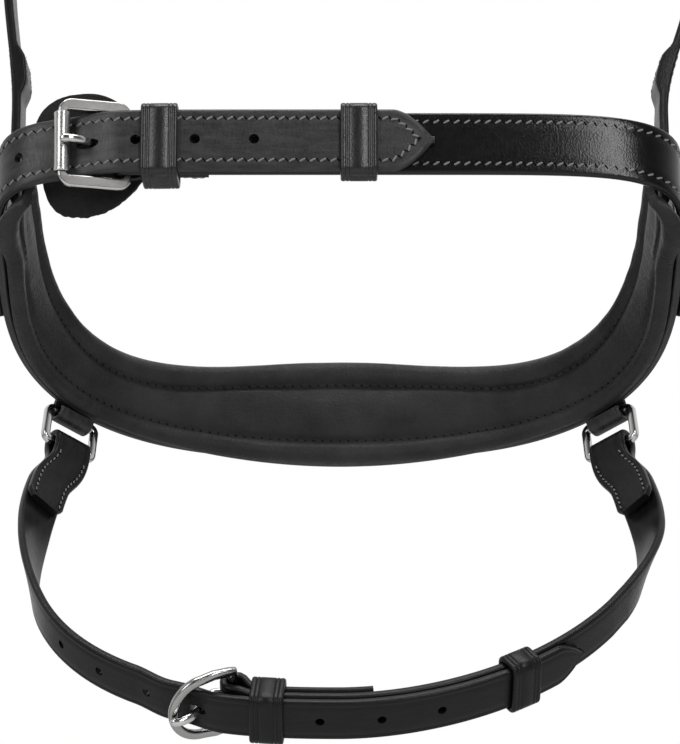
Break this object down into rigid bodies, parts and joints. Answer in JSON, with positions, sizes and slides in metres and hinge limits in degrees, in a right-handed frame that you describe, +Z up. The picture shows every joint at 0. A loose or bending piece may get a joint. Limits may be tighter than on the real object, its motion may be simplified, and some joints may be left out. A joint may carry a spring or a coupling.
{
  "type": "bridle noseband",
  "caption": "Padded bridle noseband with a rear jaw strap, a lower flash strap on two rings, and its own headpiece with a poll pad.",
  "frame": {"origin": "middle of the poll pad's flat underside, where the poll carries the bridle", "axes": "+Z up, +X to the right as seen from behind the jaw, +Y forward towards the front of the nose"},
  "size_m": [0.2556, 0.1414, 0.6128],
  "materials": {
    "bridle_leather": "black, smooth, satin, light grey stitching",
    "soft_leather": "black, soft, matt, padded",
    "suede": "black, rough flesh side",
    "satin_steel": "brushed flats, polished edges"
  },
  "bodies": {
    "bridle": {"headpiece": "bridle_leather", "poll_pad": "soft_leather", "hanger_left": "bridle_leather", "hanger_keeper_fixed": "bridle_leather", "nose_band": "bridle_leather", "nose_pad": "soft_leather", "jaw_billet": "bridle_leather", "jaw_buckle_strap": "bridle_leather", "jaw_keeper_fixed": "bridle_leather", "guard_pad": "suede", "ring_tab_left": "bridle_leather", "ring_tab_right": "bridle_leather"},
    "jaw_buckle": {"jaw_buckle": "satin_steel"},
    "jaw_roller": {"jaw_roller": "satin_steel"},
    "jaw_tongue": {"jaw_tongue": "satin_steel"},
    "jaw_keeper_sliding": {"jaw_keeper_sliding": "bridle_leather"},
    "hanger_buckle": {"hanger_buckle": "satin_steel"},
    "hanger_tongue": {"hanger_tongue": "satin_steel"},
    "hanger_keeper_sliding": {"hanger_keeper_sliding": "bridle_leather"},
    "flash": {"flash_ring_left": "satin_steel", "flash_ring_right": "satin_steel", "flash_billet": "bridle_leather", "flash_buckle_strap": "bridle_leather", "flash_keeper_fixed": "bridle_leather"},
    "flash_buckle": {"flash_buckle": "satin_steel"},
    "flash_tongue": {"flash_tongue": "satin_steel"},
    "flash_keeper_sliding": {"flash_keeper_sliding": "bridle_leather"}
  },
  "joints": [
    {"name": "jaw_buckle_swing", "type": "hinge", "parent": "bridle", "child": "jaw_buckle", "pos_m": [-0.07246, -0.02225, -0.40017], "axis": [-0.0157, 0.0007, 0.9999], "range_deg": [0, 3]},
    {"name": "jaw_roller_spin", "type": "hinge", "parent": "jaw_buckle", "child": "jaw_roller", "pos_m": [-0.09404, -0.02861, -0.4005], "axis": [-0.0157, 0.0007, 0.9999], "continuous": true},
    {"name": "jaw_tongue_swing", "type": "hinge", "parent": "jaw_buckle", "child": "jaw_tongue", "pos_m": [-0.07246, -0.02225, -0.40017], "axis": [-0.0157, 0.0007, 0.9999], "range_deg": [0, 4]},
    {"name": "jaw_keeper_slide", "type": "slide", "parent": "bridle", "child": "jaw_keeper_sliding", "axis": [1, 0, 0], "range_m": [-0.034, 0.018]},
    {"name": "hanger_buckle_swing", "type": "hinge", "parent": "bridle", "child": "hanger_buckle", "pos_m": [-0.11525, 0, -0.1855], "axis": [0, -1, 0], "range_deg": [0, 3]},
    {"name": "hanger_tongue_swing", "type": "hinge", "parent": "hanger_buckle", "child": "hanger_tongue", "pos_m": [-0.11525, 0, -0.1855], "axis": [0, -1, 0], "range_deg": [0, 4]},
    {"name": "hanger_keeper_slide", "type": "slide", "parent": "bridle", "child": "hanger_keeper_sliding", "axis": [0, 0, 1], "range_m": [-0.014, 0.021]},
    {"name": "flash_swing", "type": "hinge", "parent": "bridle", "child": "flash", "pos_m": [0, 0.08047, -0.46976], "axis": [1, 0, 0], "range_deg": [-6, 6]},
    {"name": "flash_buckle_swing", "type": "hinge", "parent": "flash", "child": "flash_buckle", "pos_m": [-0.03441, -0.01609, -0.58676], "axis": [0, -0.751, 0.6603], "range_deg": [0, 3]},
    {"name": "flash_tongue_swing", "type": "hinge", "parent": "flash_buckle", "child": "flash_tongue", "pos_m": [-0.03441, -0.01609, -0.58676], "axis": [0, -0.751, 0.6603], "range_deg": [0, 4]},
    {"name": "flash_keeper_slide", "type": "hinge", "parent": "flash", "child": "flash_keeper_sliding", "pos_m": [-0.00721, 0.06095, -0.49914], "axis": [0, -0.751, 0.6603], "range_deg": [-12, 8]}
  ]
}
